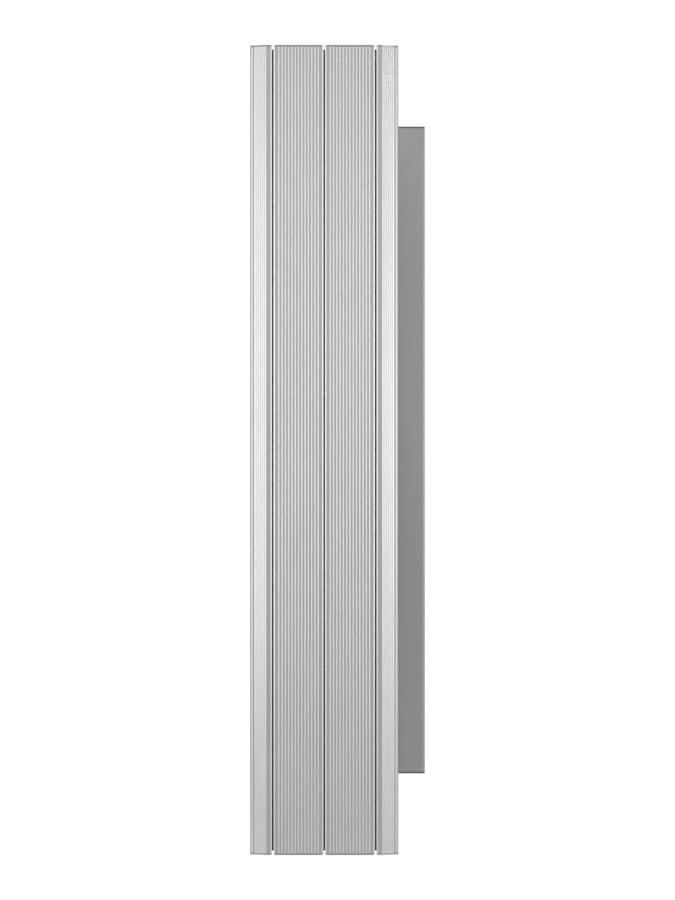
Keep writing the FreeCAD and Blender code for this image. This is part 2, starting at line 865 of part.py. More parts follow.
def compression_nut(end, direction):
    """A hexagon nut over the end of a thread, which closes to the pipe beyond it."""
    sign = 1 if direction[0] == "+" else -1
    index = "xyz".index(direction[1])
    reach = size.thread_length - size.nut_standoff

    def at(distance):
        point = list(end)
        point[index] = Size.of(point[index]) + Size.of(distance) * sign
        return tuple(point)

    hexagon = doc.addObject("Part::Prism", "Hexagon")
    hexagon.Polygon = 6
    thread = thread_radius + size.fit_gap
    bind(hexagon, "Circumradius", (thread + size.nut_wall) * 2 / Size.of(3).root())
    bind(hexagon, "Height", reach + size.nut_beyond)
    place(hexagon, at(-reach), direction)
    hollow = rod(direction, at(-reach), reach + size.nut_beyond - size.nut_lip, thread)
    mouth = rod(direction, at(-reach), reach + size.nut_beyond, pipe_hole)
    return cut(hexagon, [hollow, mouth])


def olive(end, direction):
    olive_radius = pipe_hole + size.olive_wall
    profile = [
        (pipe_hole, 0.0),
        (olive_radius - size.olive_taper, 0.0),
        (olive_radius, size.olive_length / 2),
        (olive_radius - size.olive_taper, size.olive_length),
        (pipe_hole, size.olive_length),
    ]
    return turned(end, direction, profile)


thread_ends = [
    ((riser_x, pipe_y, header_z - thread_end), "-z"),
    ((riser_x, pipe_y, valve_z + valve_branch), "+z"),
    ((riser_x, pipe_y, lock_z - valve_branch), "-z"),
    ((riser_x, pipe_y, -header_z + thread_end), "+z"),
    ((inlet_x, inlet_end_y, valve_z), "+y"),
    ((inlet_x, inlet_end_y, lock_z), "+y"),
]
node("compression_nuts", group([compression_nut(*place_of) for place_of in thread_ends]))
node("compression_olives", group([olive(*place_of) for place_of in thread_ends]))

# ---------------------------------------------------------------------------------------------
# The thermostatic valve and the lockshield valve
# ---------------------------------------------------------------------------------------------


def corner_valve(z, outlet):
    """A corner valve body: wall pipe at the back, riser up or down, insert towards +X."""
    core_start = (riser_x - size.valve_core_back, pipe_y, z)
    core_length = size.valve_core_back + size.valve_core_front
    outer = joined([
        rod("+x", core_start, core_length, size.valve_core_radius),
        rod(outlet, (riser_x, pipe_y, z), valve_branch, thread_radius),
        rod("+y", (inlet_x, pipe_y, z), inlet_branch, thread_radius),
    ])
    seat_start = (riser_x - size.valve_core_back + size.valve_core_wall, pipe_y, z)
    socket_y = inlet_end_y - size.thread_length
    socket_z = z + branch_socket if outlet == "+z" else z - branch_socket
    return drilled(outer, [
        rod("+x", (seat_x, pipe_y, z), core_end - seat_x + BEYOND, size.chamber_radius),
        rod("+x", seat_start, seat_x - seat_start[0] + BEYOND, size.seat_radius),
        rod("+y", (inlet_x, pipe_y, z), inlet_branch + BEYOND, size.inlet_bore_radius),
        rod("+y", (inlet_x, socket_y, z), size.thread_length + BEYOND, pipe_hole),
        rod(outlet, (riser_x, pipe_y, z), valve_branch + BEYOND, size.waterway_radius),
        rod(outlet, (riser_x, pipe_y, socket_z), size.thread_length + BEYOND, pipe_hole),
    ])


node("valve_body", corner_valve(valve_z, "+z"))
node("lockshield_body", corner_valve(lock_z, "-z"))

valve_at = (core_end, pipe_y, valve_z)
lock_at = (core_end, pipe_y, lock_z)
insert_fit = size.chamber_radius - size.fit_gap
spindle_hole = size.spindle_radius + size.fit_gap
bonnet_end = size.bonnet_flange + size.bonnet_neck
spring_start = size.bonnet_flange - size.spring_room_sink
spring_end = spring_start + size.spring_length
bonnet_profile = [
    (spindle_hole, -size.bonnet_insert),
    (insert_fit, -size.bonnet_insert),
    (insert_fit, 0.0),
    (size.valve_core_radius, 0.0),
    (size.valve_core_radius, size.bonnet_flange),
    (size.bonnet_thread_radius, size.bonnet_flange),
    (size.bonnet_thread_radius, bonnet_end),
    (size.spring_room_radius, bonnet_end),
    (size.spring_room_radius, spring_start),
    (spindle_hole, spring_start),
]
node("valve_bonnet", turned(valve_at, "+x", bonnet_profile))

seat_at = seat_x - core_end
disc_end = seat_at + size.disc_wall
disc_profile = [(0.0, seat_at), (size.disc_radius, seat_at), (size.disc_radius, disc_end), (0.0, disc_end)]
node("valve_disc", turned(valve_at, "+x", disc_profile))

holder_end = disc_end + size.disc_holder_wall
spindle_end = bonnet_end + size.head_flange
spring_collar_radius = size.spring_coil_radius + size.spring_wire_radius
spring_collar_end = spring_end + size.spring_collar
spindle_profile = [
    (0.0, disc_end),
    (size.disc_holder_radius, disc_end),
    (size.disc_holder_radius, holder_end),
    (size.spindle_radius, holder_end),
    (size.spindle_radius, spring_end),
    (spring_collar_radius, spring_end),
    (spring_collar_radius, spring_collar_end),
    (size.spindle_radius, spring_collar_end),
    (size.spindle_radius, spindle_end),
    (0.0, spindle_end),
]
node("valve_spindle", turned(valve_at, "+x", spindle_profile))

helix = doc.addObject("Part::Helix", "SpringLine")
bind(helix, "Radius", size.spring_coil_radius)
spring_margin = size.spring_wire_radius + size.fit_gap * 2
spring_rise = size.spring_length - spring_margin * 2
bind(helix, "Height", spring_rise)
bind(helix, "Pitch", spring_rise / size.spring_turns)
spring_section = doc.addObject("Part::Circle", "SpringSection")
bind(spring_section, "Radius", size.spring_wire_radius)
across = FreeCAD.Rotation(VECTOR(0, 0, 1), VECTOR(0, 1, 0))
spring_section.Placement = FreeCAD.Placement(VECTOR(0, 0, 0), across)
bind(spring_section, "Placement.Base.x", size.spring_coil_radius)
coil = doc.addObject("Part::Sweep", "SpringCoil")
coil.Sections = [spring_section]
coil.Spine = (helix, ["Edge1"])
coil.Solid = True
coil.Frenet = True
spring_base = core_end + spring_start + spring_margin
node("valve_spring", place(coil, (spring_base, pipe_y, valve_z), "+x"))

collar_inner = size.bonnet_thread_radius + size.fit_gap
collar_start_x = size.bonnet_flange + size.collar_setback
head_flange_end = bonnet_end + size.head_flange
collar_end_x = head_flange_end + size.collar_lip
collar_profile = [
    (collar_inner, collar_start_x),
    (size.collar_radius, collar_start_x),
    (size.collar_radius, collar_end_x),
    (size.head_neck_radius + size.fit_gap, collar_end_x),
    (size.head_neck_radius + size.fit_gap, head_flange_end),
    (collar_inner, head_flange_end),
]
node("head_collar", turned(valve_at, "+x", collar_profile))

plate_start = collar_end_x + size.head_neck
plate_end = plate_start + size.wheel_wall
sensor_start = plate_end + size.sensor_gap
sensor_end = sensor_start + size.sensor_length
tube_end = sensor_end + size.spindle_lift + size.sensor_gap
nose_hole = size.nose_radius + size.free_gap
head_profile = [
    (nose_hole, bonnet_end),
    (size.bonnet_thread_radius - size.fit_gap, bonnet_end),
    (size.bonnet_thread_radius - size.fit_gap, head_flange_end),
    (size.head_neck_radius, head_flange_end),
    (size.head_neck_radius, plate_start),
    (size.head_tube_radius, plate_start),
    (size.head_tube_radius, tube_end),
    (size.head_tube_bore_radius, tube_end),
    (size.head_tube_bore_radius, plate_end),
    (nose_hole, plate_end),
]
node("head_base", turned(valve_at, "+x", head_profile))

sensor_profile = [
    (0.0, spindle_end),
    (size.nose_radius, spindle_end),
    (size.nose_radius, sensor_start),
    (size.sensor_radius, sensor_start),
    (size.sensor_radius, sensor_end),
    (0.0, sensor_end),
]
node("sensor_capsule", turned(valve_at, "+x", sensor_profile))

wheel_inner = size.head_tube_radius + size.free_gap
wheel_face = tube_end + size.wheel_end_gap
wheel_end = wheel_face + size.wheel_wall
wheel_profile = [
    (0.0, wheel_face),
    (wheel_inner, wheel_face),
    (wheel_inner, plate_end),
    (size.wheel_radius, plate_end),
    (size.wheel_radius, wheel_end - size.wheel_bevel),
    (size.wheel_radius - size.wheel_bevel, wheel_end),
    (0.0, wheel_end),
]
wheel = turned(valve_at, "+x", wheel_profile)
first_grip = ((size.wheel_radius + size.grip_offset, 0.0), size.grip_radius)
grip = sketch_on(wheel, "XY_Plane", circles=[first_grip])
grip_cut = pocket_all(wheel, grip, back=True)
grips = wheel.newObject("PartDesign::PolarPattern", "Grips")
grips.Originals = [grip_cut]
grips.Axis = (grip, ["N_Axis"])
grips.Angle = 360
bind(grips, "Occurrences", size.wheel_grips)
wheel.Tip = grips
node("handwheel", wheel)

lock_hole = size.lock_spindle_radius + size.fit_gap
lock_neck_end = size.bonnet_flange + size.lock_neck
gland_profile = [
    (lock_hole, -size.bonnet_insert),
    (insert_fit, -size.bonnet_insert),
    (insert_fit, 0.0),
    (size.valve_core_radius, 0.0),
    (size.valve_core_radius, size.bonnet_flange),
    (size.lock_neck_radius, size.bonnet_flange),
    (size.lock_neck_radius, lock_neck_end),
    (lock_hole, lock_neck_end),
]
node("lockshield_gland", turned(lock_at, "+x", gland_profile))
lock_plug_end = seat_at + size.lock_plug_wall
lock_spindle_end = lock_neck_end - size.lock_spindle_sink
lock_profile = [
    (0.0, seat_at),
    (size.lock_plug_nose_radius, seat_at),
    (size.disc_radius, lock_plug_end),
    (size.lock_spindle_radius, lock_plug_end),
    (size.lock_spindle_radius, lock_spindle_end),
    (0.0, lock_spindle_end),
]
lock_spindle = turned(lock_at, "+x", lock_profile)
key = doc.addObject("Part::Prism", "KeyHole")
key.Polygon = 6
bind(key, "Circumradius", size.lock_key_radius)
bind(key, "Height", size.lock_key_depth + BEYOND)
place(key, (core_end + lock_spindle_end - size.lock_key_depth, pipe_y, lock_z), "+x")
node("lockshield_spindle", cut(lock_spindle, [key]))
lock_cap_start = size.bonnet_flange + size.free_gap
lock_cap_end = lock_cap_start + size.lock_cap_length
lock_cap_inner = size.lock_neck_radius + size.fit_gap
lock_cap_profile = [
    (lock_cap_inner, lock_cap_start),
    (size.lock_cap_radius, lock_cap_start),
    (size.lock_cap_radius, lock_cap_end - size.lock_cap_bevel),
    (size.lock_cap_radius - size.lock_cap_bevel, lock_cap_end),
    (0.0, lock_cap_end),
    (0.0, lock_cap_end - size.lock_cap_wall),
    (lock_cap_inner, lock_cap_end - size.lock_cap_wall),
]
node("lockshield_cap", turned(lock_at, "+x", lock_cap_profile))

# ---------------------------------------------------------------------------------------------
# The side casing
# ---------------------------------------------------------------------------------------------

sheet = size.sheet_wall
cover_half = casing_half - size.casing_cap_wall
side_inner = casing_right - sheet
cover_inner_y = casing_front + sheet

body = new_body()
cover_outline = [
    (casing_left, casing_front),
    (casing_right, casing_front),
    (casing_right, casing_back),
    (side_inner - size.casing_hem, casing_back),
    (side_inner - size.casing_hem, casing_back - sheet),
    (side_inner, casing_back - sheet),
    (side_inner, cover_inner_y),
    (casing_left + sheet, cover_inner_y),
    (casing_left + sheet, casing_front + size.casing_lip),
    (casing_left, casing_front + size.casing_lip),
]
shell = pad(body, sketch_on(body, "XY_Plane", outlines=[cover_outline]), cover_half * 2)
outer_corner = rounded(body, shell, upright_at([(casing_right, casing_front)]), size.casing_corner_radius)
inner_corner = upright_at([(side_inner, cover_inner_y)])
rounded(body, outer_corner, inner_corner, size.casing_corner_radius - sheet)
place(body, (0.0, 0.0, -cover_half))
access_half = size.access_height / 2
hem_left = side_inner - size.casing_hem
access_low = (hem_left - BEYOND, cover_inner_y + size.access_margin, valve_z - access_half)
access_high = (casing_right + BEYOND, casing_back + BEYOND, valve_z + access_half)
node("casing_cover", cut(body, [box(access_low, access_high)]))

slot = size.pipe_radius + size.pipe_slot_room


def casing_cap():
    """A plate that closes the cover's end, slotted so that it can slide past the pipe."""
    cap = new_body()
    outline = [
        (casing_left, casing_front),
        (casing_right, casing_front),
        (casing_right, casing_back),
        (casing_left, casing_back),
        (casing_left, pipe_y + slot),
        (riser_x + slot, pipe_y + slot),
        (riser_x + slot, pipe_y - slot),
        (casing_left, pipe_y - slot),
    ]
    plate = pad(cap, sketch_on(cap, "XY_Plane", outlines=[outline]), size.casing_cap_wall)
    corner = upright_at([(casing_right, casing_front)])
    rounded(cap, plate, corner, size.casing_corner_radius)
    return place(cap, (0.0, 0.0, cover_half))


top_plate = node("casing_cap_top", casing_cap())
node("casing_cap_bottom", mirrored(top_plate, UPWARDS))

base_left = casing_left + sheet + size.free_gap
base_right = hem_left - size.base_side_gap
base_half = cover_half - size.base_end_gap
plate = box((base_left, -sheet, -base_half), (base_right, 0.0, base_half))
base_middle = (casing_left + casing_right) / 2
window = size.pipe_radius + size.pipe_window_room
window_low = (inlet_x - window, -sheet - BEYOND, lock_z - window)
window_high = (inlet_x + window, BEYOND, valve_z + window)
holes = [box(window_low, window_high)]
for x_side in (-1, 1):
    for z_side in (-1, 1):
        x = base_middle + size.base_screw_spacing_x / 2 * x_side
        z = size.base_screw_spacing_z / 2 * z_side
        hole = rod("+y", (x, -sheet - BEYOND, z), sheet + BEYOND * 2, size.base_screw_radius)
        holes.append(hole)
node("casing_base", cut(plate, holes))

tongue_front = cover_inner_y + size.guide_wall + size.free_gap + size.fit_gap
tongue_back = tongue_front + sheet
arm_places = [arm_z * sign for arm_z, sign in (
    (casing_half - size.arm_end_inset, 1),
    (casing_half - size.arm_end_inset, -1),
)] + [Size.of(0.0)]
guide_start = base_left + size.guide_inset


def arm(z):
    """A bent sheet arm: a foot on the base, a post, and a tongue for the cover to slide on."""
    item = new_body()
    foot_end = base_left + size.arm_foot
    outline = [
        (base_left, -sheet),
        (base_left, tongue_front),
        (base_right, tongue_front),
        (base_right, tongue_back),
        (base_left + sheet, tongue_back),
        (base_left + sheet, -sheet * 2),
        (foot_end, -sheet * 2),
        (foot_end, -sheet),
    ]
    pad(item, sketch_on(item, "XY_Plane", outlines=[outline]), size.arm_width)
    return place(item, (0.0, 0.0, z - size.arm_width / 2))


def guide(z):
    """A C-shaped guide inside the cover, open to the back, that runs on a tongue."""
    item = new_body()
    room = size.arm_width / 2 + size.free_gap
    wall = size.guide_wall
    back = cover_inner_y + wall
    lip = tongue_back + size.free_gap
    upper_half = [
        (cover_inner_y, room + wall),
        (lip + wall, room + wall),
        (lip + wall, room - size.guide_lip),
        (lip, room - size.guide_lip),
        (lip, room),
        (back, room),
    ]
    outline = upper_half + [(y, -height) for y, height in reversed(upper_half)]
    pad(item, sketch_on(item, "YZ_Plane", outlines=[outline]), size.guide_length)
    return place(item, (guide_start, 0.0, z))


node("casing_arms", group([arm(z) for z in arm_places]))
node("cover_guides", group([guide(z) for z in arm_places]))

# ---------------------------------------------------------------------------------------------
# Rails, screws and wall brackets
# ---------------------------------------------------------------------------------------------

steel = size.steel_wall
rail_end = half_width - size.rail_end_inset
rail_back = rear_y + size.rail_depth
channel_middles = [edge_inner_x + size.edge_channel_inset]
for middle in (plain_middles["right"] - size.channel_offset, plain_middles["right"] + size.channel_offset):
    channel_middles.append(middle)
bracket_x = channel_middles[-1] + size.bracket_offset
channel_middles += [-middle for middle in channel_middles]


def rail(z):
    """A hook-shaped rail screwed to the back of all four elements."""
    item = new_body()
    high = size.rail_half_height
    outline = [
        (rear_y, -high),
        (rear_y, high),
        (rail_back, high),
        (rail_back, high - size.rail_lip),
        (rail_back - steel, high - size.rail_lip),
        (rail_back - steel, high - steel),
        (rear_y + steel, high - steel),
        (rear_y + steel, -high),
    ]
    pad(item, sketch_on(item, "YZ_Plane", outlines=[outline]), rail_end * 2)
    place(item, (-rail_end, 0.0, z))
    hole = size.screw_radius + size.hole_gap
    tools = []
    for middle in channel_middles:
        tools.append(rod("+y", (middle, rear_y - BEYOND, z), steel + BEYOND * 2, hole))
    return cut(item, tools)


nut_front = rear_y - size.channel_lip - size.nut_room_depth + size.free_gap
nut_back = rear_y - size.channel_lip
screw_end = steel + size.screw_length
screw_profile = [
    (0.0, 0.0),
    (size.screw_head_radius, 0.0),
    (size.screw_head_radius, size.screw_head - size.screw_head_bevel),
    (size.screw_head_radius - size.screw_head_bevel, size.screw_head),
    (0.0, size.screw_head),
]
screws = []
slot_nuts = []
for z in (fixing_z, -fixing_z):
    for middle in channel_middles:
        head = turned((middle, rear_y + steel, z), "+y", screw_profile)
        shank = rod("-y", (middle, rear_y + steel, z), screw_end, size.screw_radius)
        screws.append(joined([head, shank]))
        half = size.nut_room_width / 2 - size.free_gap
        low = (middle - half, nut_front, z - size.slot_nut_length / 2)
        high = (middle + half, nut_back, z + size.slot_nut_length / 2)
        thread_hole = size.screw_radius + size.fit_gap
        thread_depth = nut_back - nut_front + BEYOND * 2
        thread = rod("+y", (middle, nut_front - BEYOND, z), thread_depth, thread_hole)
        slot_nuts.append(cut(box(low, high), [thread]))
node("rail_screws", group(screws))
node("slot_nuts", group(slot_nuts))

for name, z in (("top", fixing_z), ("bottom", -fixing_z)):
    node(f"rail_{name}", rail(z))


def bracket(x, z):
    """A wall bracket: a plate with one fixing hole, an arm, and an upright tongue under the rail."""
    item = new_body()
    low = -size.bracket_half_height
    tongue_y = rear_y + (size.rail_depth + steel) / 2 - steel
    tongue_top = size.rail_half_height - steel - size.pad_wall
    outline = [
        (0.0, low),
        (tongue_y, low),
        (tongue_y, tongue_top),
        (tongue_y + steel, tongue_top),
        (tongue_y + steel, low + steel),
        (-steel, low + steel),
        (-steel, size.bracket_half_height),
        (0.0, size.bracket_half_height),
    ]
    pad(item, sketch_on(item, "YZ_Plane", outlines=[outline]), size.bracket_width)
    place(item, (x - size.bracket_width / 2, 0.0, z))
    hole = rod("+y", (x, -steel - BEYOND, z), steel + BEYOND * 2, size.fixing_radius)
    pad_low = (x - size.bracket_width / 2, tongue_y, z + tongue_top)
    pad_high = (x + size.bracket_width / 2, tongue_y + steel, z + tongue_top + size.pad_wall)
    return cut(item, [hole]), box(pad_low, pad_high)


pads = []
for row, z in (("top", fixing_z), ("bottom", -fixing_z)):
    for side, x in (("left", -bracket_x), ("right", bracket_x)):
        holder, cushion = bracket(x, z)
        node(f"wall_bracket_{row}_{side}", holder)
        pads.append(cushion)
node("bracket_pads", group(pads))

# ---------------------------------------------------------------------------------------------
# Checking and writing
# ---------------------------------------------------------------------------------------------

doc.recompute()
for item in doc.Objects:
    for word in ("Invalid", "Error"):
        if word in item.State:
            raise RuntimeError(f"{item.Label} ({item.TypeId}) is in the state {item.State}")
for label, item in nodes.items():
    if item.Shape.isNull() or not item.Shape.isValid():
        raise RuntimeError(f"{label} has no valid shape")

os.makedirs("parts", exist_ok=True)
for label, item in nodes.items():
    item.Shape.exportStep(os.path.join("parts", label + ".step"))
print(len(nodes), "sub-parts written")
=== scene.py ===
"""A tall radiator of four ribbed aluminium elements with its valves in a slim side casing.

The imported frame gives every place. Lengths are in metres, the wall is the plane y = 0, the front
faces -Y and +Z is up.
"""

import json
import math

import bmesh
import bpy
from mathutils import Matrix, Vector


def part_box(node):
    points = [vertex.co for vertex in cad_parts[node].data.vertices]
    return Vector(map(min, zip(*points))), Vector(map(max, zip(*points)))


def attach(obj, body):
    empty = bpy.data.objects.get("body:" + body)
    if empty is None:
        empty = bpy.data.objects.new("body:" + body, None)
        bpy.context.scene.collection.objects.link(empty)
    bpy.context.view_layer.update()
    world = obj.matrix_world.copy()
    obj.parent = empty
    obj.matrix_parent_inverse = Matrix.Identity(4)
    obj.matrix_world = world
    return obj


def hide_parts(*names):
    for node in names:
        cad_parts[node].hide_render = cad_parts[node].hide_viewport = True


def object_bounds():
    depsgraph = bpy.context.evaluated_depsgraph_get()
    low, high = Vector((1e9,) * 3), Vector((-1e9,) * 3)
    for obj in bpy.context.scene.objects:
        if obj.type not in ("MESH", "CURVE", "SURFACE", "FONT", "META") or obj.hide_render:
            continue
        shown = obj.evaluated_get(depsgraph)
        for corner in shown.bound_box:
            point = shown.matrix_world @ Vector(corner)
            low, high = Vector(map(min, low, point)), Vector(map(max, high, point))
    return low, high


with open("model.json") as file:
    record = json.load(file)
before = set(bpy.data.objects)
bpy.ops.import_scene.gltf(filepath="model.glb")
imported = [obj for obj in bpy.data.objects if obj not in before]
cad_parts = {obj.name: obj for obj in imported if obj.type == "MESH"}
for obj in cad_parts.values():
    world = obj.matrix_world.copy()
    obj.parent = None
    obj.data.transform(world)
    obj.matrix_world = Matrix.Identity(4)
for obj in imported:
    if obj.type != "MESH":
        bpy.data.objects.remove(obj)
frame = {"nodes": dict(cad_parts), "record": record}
cad_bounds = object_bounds()
record = frame["record"]

MM = 0.001


# ---------------------------------------------------------------------------------------------
# Materials
# ---------------------------------------------------------------------------------------------


BEVEL_SAMPLES = 4
LEAN_EDGE = 0.80  # the rounded normal along the true one, where a spot counts as an edge
LEAN_FLAT = 0.99  # and where it counts as flat


class Shader:
    """A Principled material with small helpers for its procedural nodes."""

    def __init__(self, name, metallic, ior=1.5):
        self.material = bpy.data.materials.new(name)
        self.material.use_nodes = True
        self.tree = self.material.node_tree
        self.surface = self.tree.nodes["Principled BSDF"]
        self.surface.inputs["Metallic"].default_value = metallic
        self.surface.inputs["IOR"].default_value = ior
        self.places = self.tree.nodes.new("ShaderNodeTexCoord").outputs["Object"]

    def link(self, start, end):
        self.tree.links.new(start, end)

    def noise(self, stretch, scale, detail=3.0):
        """Noise in the object's own space; stretch makes it finer along each axis."""
        mapping = self.tree.nodes.new("ShaderNodeMapping")
        mapping.inputs["Scale"].default_value = stretch
        texture = self.tree.nodes.new("ShaderNodeTexNoise")
        texture.inputs["Scale"].default_value = scale
        texture.inputs["Detail"].default_value = detail
        self.link(self.places, mapping.inputs["Vector"])
        self.link(mapping.outputs["Vector"], texture.inputs["Vector"])
        return texture.outputs["Fac"]

    def span(self, value, low, high, start=0.3, end=0.7):
        """Carry a value from start..end to low..high."""
        node = self.tree.nodes.new("ShaderNodeMapRange")
        node.inputs["From Min"].default_value = start
        node.inputs["From Max"].default_value = end
        node.inputs["To Min"].default_value = low
        node.inputs["To Max"].default_value = high
        self.link(value, node.inputs["Value"])
        return node.outputs["Result"]

    def blend(self, share, first, second):
        """Mix two colours; either can be a plain colour or another node's output."""
        node = self.tree.nodes.new("ShaderNodeMix")
        node.data_type = "RGBA"
        self.link(share, node.inputs["Factor"])
        for colour, name in ((first, "A"), (second, "B")):
            socket = next(s for s in node.inputs if s.name == name and s.type == "RGBA")
            if isinstance(colour, tuple):
                socket.default_value = (*colour, 1.0)
            else:
                self.link(colour, socket)
        return next(s for s in node.outputs if s.type == "RGBA")

    def arithmetic(self, operation, first, second):
        node = self.tree.nodes.new("ShaderNodeMath")
        node.operation = operation
        for value, socket in ((first, node.inputs[0]), (second, node.inputs[1])):
            if isinstance(value, float):
                socket.default_value = value
            else:
                self.link(value, socket)
        return node.outputs["Value"]

    def edges(self, width):
        """1 on edges and 0 on flats, from how much a rounded normal leans; it masks a painted edge
        highlight.
        """
        rounded = self.tree.nodes.new("ShaderNodeBevel")
        rounded.samples = BEVEL_SAMPLES
        rounded.inputs["Radius"].default_value = width
        flat = self.tree.nodes.new("ShaderNodeNewGeometry")
        dot = self.tree.nodes.new("ShaderNodeVectorMath")
        dot.operation = "DOT_PRODUCT"
        self.link(rounded.outputs["Normal"], dot.inputs[0])
        self.link(flat.outputs["Normal"], dot.inputs[1])
        return self.span(dot.outputs["Value"], 1.0, 0.0, start=LEAN_EDGE, end=LEAN_FLAT)

    def bump(self, height, strength, distance):
        node = self.tree.nodes.new("ShaderNodeBump")
        node.inputs["Strength"].default_value = strength
        node.inputs["Distance"].default_value = distance
        self.link(height, node.inputs["Height"])
        self.link(node.outputs["Normal"], self.surface.inputs["Normal"])

    def finish(self, colour, roughness):
        self.link(colour, self.surface.inputs["Base Color"])
        self.link(roughness, self.surface.inputs["Roughness"])
        return self.material


def tinted(colour, factor):
    return tuple(min(1.0, channel * factor) for channel in colour)


def extruded_metal(name, colour, rough):
    """Anodised extrusion: fine die lines along Z, a faint cloudiness and paler edges as a painted
    highlight.
    """
    shader = Shader(name, metallic=1.0)
    cloud = shader.noise(stretch=(1.0, 1.0, 0.35), scale=9.0)
    lines = shader.noise(stretch=(1.0, 1.0, 0.004), scale=900.0, detail=2.0)
    grain = shader.noise(stretch=(1.0, 1.0, 1.0), scale=2600.0, detail=1.0)
    base = shader.blend(shader.span(cloud, 0.0, 1.0), tinted(colour, 0.98), tinted(colour, 1.02))
    base = shader.blend(shader.span(lines, 0.0, 0.2), base, tinted(colour, 0.96))
    # Painted highlight: the edges are paler than the flats.
    base = shader.blend(shader.edges(width=0.5 * MM), base, tinted(colour, 1.14))
    die_lines = shader.arithmetic("MULTIPLY", lines, 0.5)
    speckle = shader.arithmetic("MULTIPLY", grain, 0.5)
    height = shader.arithmetic("ADD", die_lines, speckle)
    shader.bump(height, strength=0.03, distance=0.02 * MM)
    return shader.finish(base, shader.span(cloud, rough - 0.02, rough + 0.03))


def turned_metal(name, colour, rough, edge_highlight=1.15):
    """Turned or plated fittings: ring marks, small stains and brighter edges as a painted
    highlight.
    """
    shader = Shader(name, metallic=1.0)
    stain = shader.noise(stretch=(1.0, 1.0, 1.0), scale=60.0, detail=4.0)
    marks = shader.noise(stretch=(3.0, 0.2, 0.2), scale=700.0, detail=2.0)
    base = shader.blend(shader.span(stain, 0.0, 1.0), tinted(colour, 0.9), tinted(colour, 1.05))
    # Painted highlight: the edges are brighter than the flats.
    base = shader.blend(shader.edges(width=0.4 * MM), base, tinted(colour, edge_highlight))
    shader.bump(marks, strength=0.08, distance=0.02 * MM)
    return shader.finish(base, shader.span(stain, rough - 0.04, rough + 0.08))


def powder_coat(name, colour, rough, metallic):
    """Powder coating: fine orange peel, faint cloudiness and paler edges as a painted highlight.
    """
    shader = Shader(name, metallic=metallic)
    cloud = shader.noise(stretch=(1.0, 1.0, 0.5), scale=12.0)
    peel = shader.noise(stretch=(1.0, 1.0, 1.0), scale=1100.0, detail=2.0)
    base = shader.blend(shader.span(cloud, 0.0, 1.0), tinted(colour, 0.97), tinted(colour, 1.03))
    # Painted highlight: the edges are paler than the flats.
    base = shader.blend(shader.edges(width=0.5 * MM), base, tinted(colour, 1.25))
    shader.bump(peel, strength=0.12, distance=0.03 * MM)
    return shader.finish(base, shader.span(cloud, rough - 0.03, rough + 0.05))


def moulded(name, colour, rough):
    """Moulded plastic or rubber: fine spark texture, faint flow marks and paler edges as a painted
    highlight.
    """
    shader = Shader(name, metallic=0.0, ior=1.48)
    flow = shader.noise(stretch=(1.0, 1.0, 1.0), scale=40.0, detail=2.0)
    spark = shader.noise(stretch=(1.0, 1.0, 1.0), scale=3200.0, detail=2.0)
    base = shader.blend(shader.span(flow, 0.0, 1.0), tinted(colour, 0.95), tinted(colour, 1.04))
    # Painted highlight: the edges are paler than the flats.
    base = shader.blend(shader.edges(width=0.3 * MM), base, tinted(colour, 1.1))
    shader.bump(spark, strength=0.15, distance=0.03 * MM)
    return shader.finish(base, shader.span(flow, rough - 0.04, rough + 0.04))


MATERIALS = {
    "satin_aluminium": extruded_metal("satin_aluminium", (0.80, 0.80, 0.812), 0.34),
    # The element caps are darker than the elements: partly their own finish, partly painted shade
    # of the joint along their ends.
    "cap_aluminium": extruded_metal("cap_aluminium", (0.56, 0.56, 0.565), 0.40),
    # Nearly black: the strips that close the gaps between the elements stand partly for rubber,
    # partly for painted shade in the deep gaps.
    "black_rubber": moulded("black_rubber", (0.006, 0.006, 0.0065), 0.75),
    "painted_steel": powder_coat("painted_steel", (0.47, 0.47, 0.48), 0.38, metallic=0.6),
    "zinc_steel": turned_metal("zinc_steel", (0.62, 0.63, 0.65), 0.34),
    "brass": turned_metal("brass", (0.76, 0.57, 0.30), 0.28),
    "chrome": turned_metal("chrome", (0.78, 0.78, 0.79), 0.14, edge_highlight=1.05),
    "white_plastic": moulded("white_plastic", (0.80, 0.80, 0.78), 0.42),
    "grey_plastic": moulded("grey_plastic", (0.12, 0.12, 0.125), 0.5),
    "grey_cover": powder_coat("grey_cover", (0.47, 0.47, 0.468), 0.42, metallic=0.3),
    # The casing caps are much darker than the cover: partly their own finish, partly painted shade
    # of the joint at the casing's ends.
    "dark_cap": powder_coat("dark_cap", (0.17, 0.17, 0.172), 0.45, metallic=0.2),
}

for part in record["subparts"]:
    holder = frame["nodes"][part["node"]]
    holder.data.materials.clear()
    holder.data.materials.append(MATERIALS[part["material_slot"]])


# ---------------------------------------------------------------------------------------------
# Finished pieces
# ---------------------------------------------------------------------------------------------

SMOOTH_ANGLE = math.radians(40)  # two faces that turn more than this meet at a crisp edge
BEVEL_ANGLE = math.radians(35)  # an edge that turns more than this is softened
BEVEL_SEGMENTS = 2
FLAT_ANGLE = math.radians(0.5)  # triangles that turn less than this make one flat face
WELD = 0.002 * MM

SLOT_OF = {part["node"]: part["material_slot"] for part in record["subparts"]}
BODY_OF = {}
for body_name, members in record["behaviour"]["bodies"].items():
    for member in members:
        BODY_OF[member] = body_name


def settle(piece, node):
    """Give a piece the body and the finish of the node that it stands for."""
    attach(piece, BODY_OF[node])
    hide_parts(node)
    piece.data.materials.clear()
    piece.data.materials.append(MATERIALS[SLOT_OF[node]])


